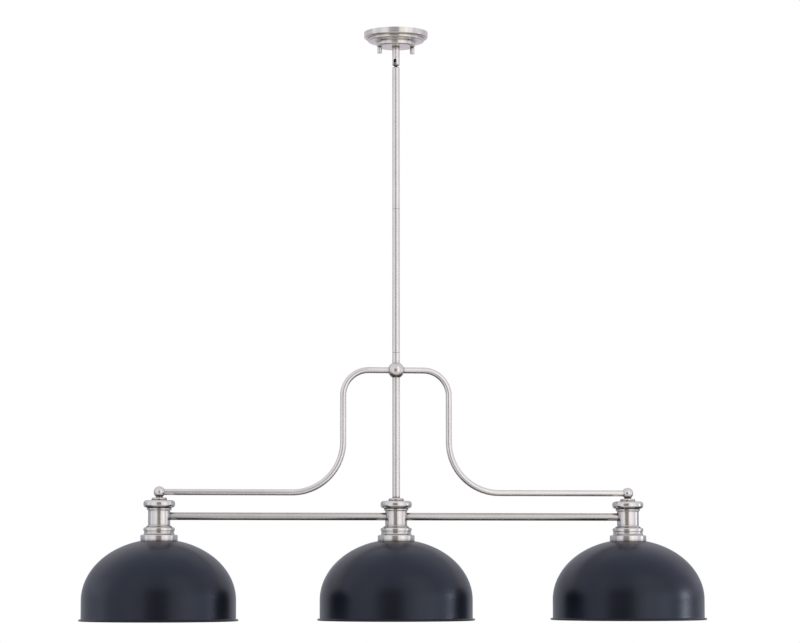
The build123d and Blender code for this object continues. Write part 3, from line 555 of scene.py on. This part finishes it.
def stage_material(name, seen, mirrored, lit, glow=1.0, shadow=0.0):
    """A stage surface with one glow for the camera, one for mirror-like rays, and paint for all other light.
    shadow is the share of what the camera sees that comes from the light on the paint. From below, the
    surface is clear."""
    material, tree = empty_material(name)
    path = add_node(tree, "ShaderNodeLightPath")
    glowing = add_node(tree, "ShaderNodeEmission", {
        "Color": linear(seen), "Strength": 1.0 - shadow * FILL_LEVEL})
    shaded = add_node(tree, "ShaderNodeBsdfDiffuse", {"Color": [shadow, shadow, shadow, 1.0]})
    shown = add_node(tree, "ShaderNodeAddShader", {0: glowing.outputs["Emission"], 1: shaded.outputs["BSDF"]})
    mirror = add_node(tree, "ShaderNodeEmission", {"Color": linear(mirrored), "Strength": glow})
    paint = add_node(tree, "ShaderNodeBsdfDiffuse", {"Color": linear(lit)})
    mix = add_node(tree, "ShaderNodeMixShader", {
        "Fac": path.outputs["Is Glossy Ray"], 1: paint.outputs["BSDF"], 2: mirror.outputs["Emission"],
    })
    mix = add_node(tree, "ShaderNodeMixShader", {
        "Fac": path.outputs["Is Camera Ray"], 1: mix.outputs["Shader"], 2: shown.outputs["Shader"],
    })
    side = add_node(tree, "ShaderNodeNewGeometry")
    clear = add_node(tree, "ShaderNodeBsdfTransparent")
    from_below = add_node(tree, "ShaderNodeMath", {
        0: side.outputs["Backfacing"], 1: path.outputs["Is Camera Ray"]}, operation="MULTIPLY")
    mix = add_node(tree, "ShaderNodeMixShader", {
        "Fac": from_below.outputs["Value"], 1: mix.outputs["Shader"], 2: clear.outputs["BSDF"],
    })
    add_node(tree, "ShaderNodeOutputMaterial", {"Surface": mix.outputs["Shader"]})
    return material


def stage_plane(name, size, place, turn, material, is_card=True):
    """A flat stage surface that isn't part of the object. A card is only seen in reflections."""
    bpy.ops.object.select_all(action="DESELECT")
    bpy.ops.mesh.primitive_plane_add(size=1, location=place, rotation=turn)
    plane = bpy.context.object
    plane.name = name
    plane.scale = (size[0], size[1], 1)
    plane.data.materials.append(material)
    if is_card:
        plane.visible_camera = False
        plane.visible_diffuse = False
        plane.visible_transmission = False
        plane.visible_shadow = False


def card(name, grey, glow=1.0):
    """The material of a reflector card that shows as one tone in the metal."""
    return stage_material(name, "#FFFFFF", grey, grey, glow * MIRROR_LEVEL)


def upright_card(name, left, right, bottom, top, depth, grey, glow=1.0):
    """A card that stands square to the row of lamps, at a depth along Y, between two places along X and
    two heights."""
    middle = ((left + right) / 2, depth, (bottom + top) / 2)
    tone = card(name + "_tone", grey, glow)
    stage_plane(name, (right - left, top - bottom), middle, (UPRIGHT, 0, 0), tone)


def soft_light(name, size, bearing, distance, height, glow, colour="#FFFFFF", mirrored=True):
    """A softbox at a bearing to the right of the camera, in degrees, aimed level at the light's own axis.
    glow is the brightness that it adds where it is mirrored."""
    data = bpy.data.lights.new(name, "AREA")
    data.shape = "RECTANGLE"
    data.size, data.size_y = size
    data.energy = glow * math.pi * size[0] * size[1]
    data.color = linear(colour)[:3]
    light = bpy.data.objects.new(name, data)
    bpy.context.collection.objects.link(light)
    turn = math.radians(bearing) - CAMERA_AZIMUTH
    light.location = (distance * math.sin(turn), -distance * math.cos(turn), height)
    light.rotation_euler = (UPRIGHT, 0, turn)
    light.visible_camera = False
    light.visible_glossy = mirrored
    return light


def light_alone(name, pieces, lights):
    """Keeps lights to a few pieces, so that they light nothing else."""
    group = bpy.data.collections.new(name)
    for piece in pieces:
        group.objects.link(piece)
    for light in lights:
        light.light_linking.receiver_collection = group


# White floor that takes the object's soft shadow, and a brown card that darkens the metal from below
stage_plane(
    "floor", (40, 40), (0, 0, FLOOR_HEIGHT), (0, 0, 0),
    stage_material("pale_floor", "#FFFFFF", "#CFD4DC", "#E6E4E0", MIRROR_LEVEL, shadow=0.4), is_card=False)
stage_plane(
    "card_under", (7.0, 1.85), (0, 0.275, FLOOR_HEIGHT + 0.02), (0, 0, 0), card("card_brown", "#463C34"))

# Grey cards behind and in front, which give the metal its dark lines, and white panels at the sides
upright_card("card_back_low", -8.0, 8.0, FLOOR_HEIGHT, -1.55, 1.2, "#5F5A58")
upright_card("card_back", -8.0, 8.0, -1.55, -0.75, 1.2, "#A6ABB4")
upright_card("card_back_upper", -1.9, 1.9, -0.75, -0.42, 1.2, "#A3A6AE")
upright_card("card_back_top", -8.0, 8.0, -0.42, 1.0, 1.25, "#CBC7D2")
upright_card("card_room", -3.4, 3.4, FLOOR_HEIGHT, 0.95, -4.2, "#8E8B8A")
upright_card("panel_left", -3.6, -1.25, FLOOR_HEIGHT, 3.2, -1.9, "#EDF1F9")
upright_card("panel_right", 0.29, 5.2, FLOOR_HEIGHT, 4.6, -3.6, "#FAFBFF", 1.06)
upright_card("panel_low", 1.15, 1.9, -1.75, -0.75, -2.0, "#F0F4FF", 1.2)

# Soft light from both sides, and strips that edge the metal
soft_light("softbox_right", (2.0, 3.0), 46, 2.4, 0.0, 0.24, "#EDF2FF", mirrored=False)
soft_light("softbox_left", (2.0, 3.0), -46, 2.4, 0.0, 0.12, "#EDF2FF", mirrored=False)
soft_light("strip_right", (0.2, 5.0), 38, 2.2, 0.0, 0.35)
soft_light("strip_right_side", (0.3, 5.0), 84, 3.4, 0.0, 0.22)
soft_light("strip_left_side", (0.3, 5.0), -84, 3.4, 0.0, 0.35)
soft_light("strip_far_right", (0.5, 0.9), 95, 3.0, -0.9, 1.0)

# Glints on the shades, and a wide light square behind them that pales their edges
SQUARE_BEHIND = 180 + math.degrees(CAMERA_AZIMUTH)
light_alone("shades", shades.values(), [
    soft_light("shade_glint_right", (0.35, 0.5), 89, 3.0, -0.95, 10.5, "#EDF3FF"),
    soft_light("shade_glint_front", (1.8, 1.1), 50, 2.6, -1.2, 0.55, "#E6EEFF"),
    soft_light("shade_glint_left", (1.0, 2.0), -92.5, 3.0, -0.9, 0.45, "#EDF3FF"),
    soft_light("shade_edge", (7.0, 3.4), SQUARE_BEHIND, 1.1, -0.6, 0.24, "#F4F0FF"),
])

# The band of light along the bars, and warm light from below on the canopy's flat underside
bar_fill = soft_light("bar_fill", (1.54, 5.0), -0.5, 3.43, -0.6, 0.36)
canopy_fill = soft_light("canopy_fill", (6.0, 1.8), 0, 0.0, FLOOR_HEIGHT + 0.05, 0.22, "#FFEBD8")
canopy_fill.rotation_euler = (math.pi, 0, 0)
light_alone("bars", [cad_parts["bar_left"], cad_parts["bar_right"]], [bar_fill])
light_alone("canopy_alone", [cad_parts["canopy"]], [canopy_fill])

# White background, with a little less light on the object than the camera sees
world = bpy.data.worlds.new("studio")
bpy.context.scene.world = world
world.use_nodes = True
tree = world.node_tree
tree.nodes.clear()
path = add_node(tree, "ShaderNodeLightPath")
seen = add_node(tree, "ShaderNodeMath", {
    0: path.outputs["Is Camera Ray"], 1: path.outputs["Is Transmission Ray"]}, operation="MAXIMUM")
fill = add_node(tree, "ShaderNodeBackground", {"Color": linear("#FFFFFF"), "Strength": FILL_LEVEL})
mirror = add_node(tree, "ShaderNodeBackground", {
    "Color": linear("#E9F0FF"), "Strength": WORLD_MIRROR_LEVEL})
white = add_node(tree, "ShaderNodeBackground", {"Color": linear("#FFFFFF"), "Strength": 1.0})
lit = add_node(tree, "ShaderNodeMixShader", {
    "Fac": path.outputs["Is Glossy Ray"], 1: fill.outputs["Background"], 2: mirror.outputs["Background"]})
shown = add_node(tree, "ShaderNodeMixShader", {
    "Fac": seen.outputs["Value"], 1: lit.outputs["Shader"], 2: white.outputs["Background"]})
add_node(tree, "ShaderNodeOutputWorld", {"Surface": shown.outputs["Shader"]})

bpy.context.scene.view_settings.view_transform = "Standard"
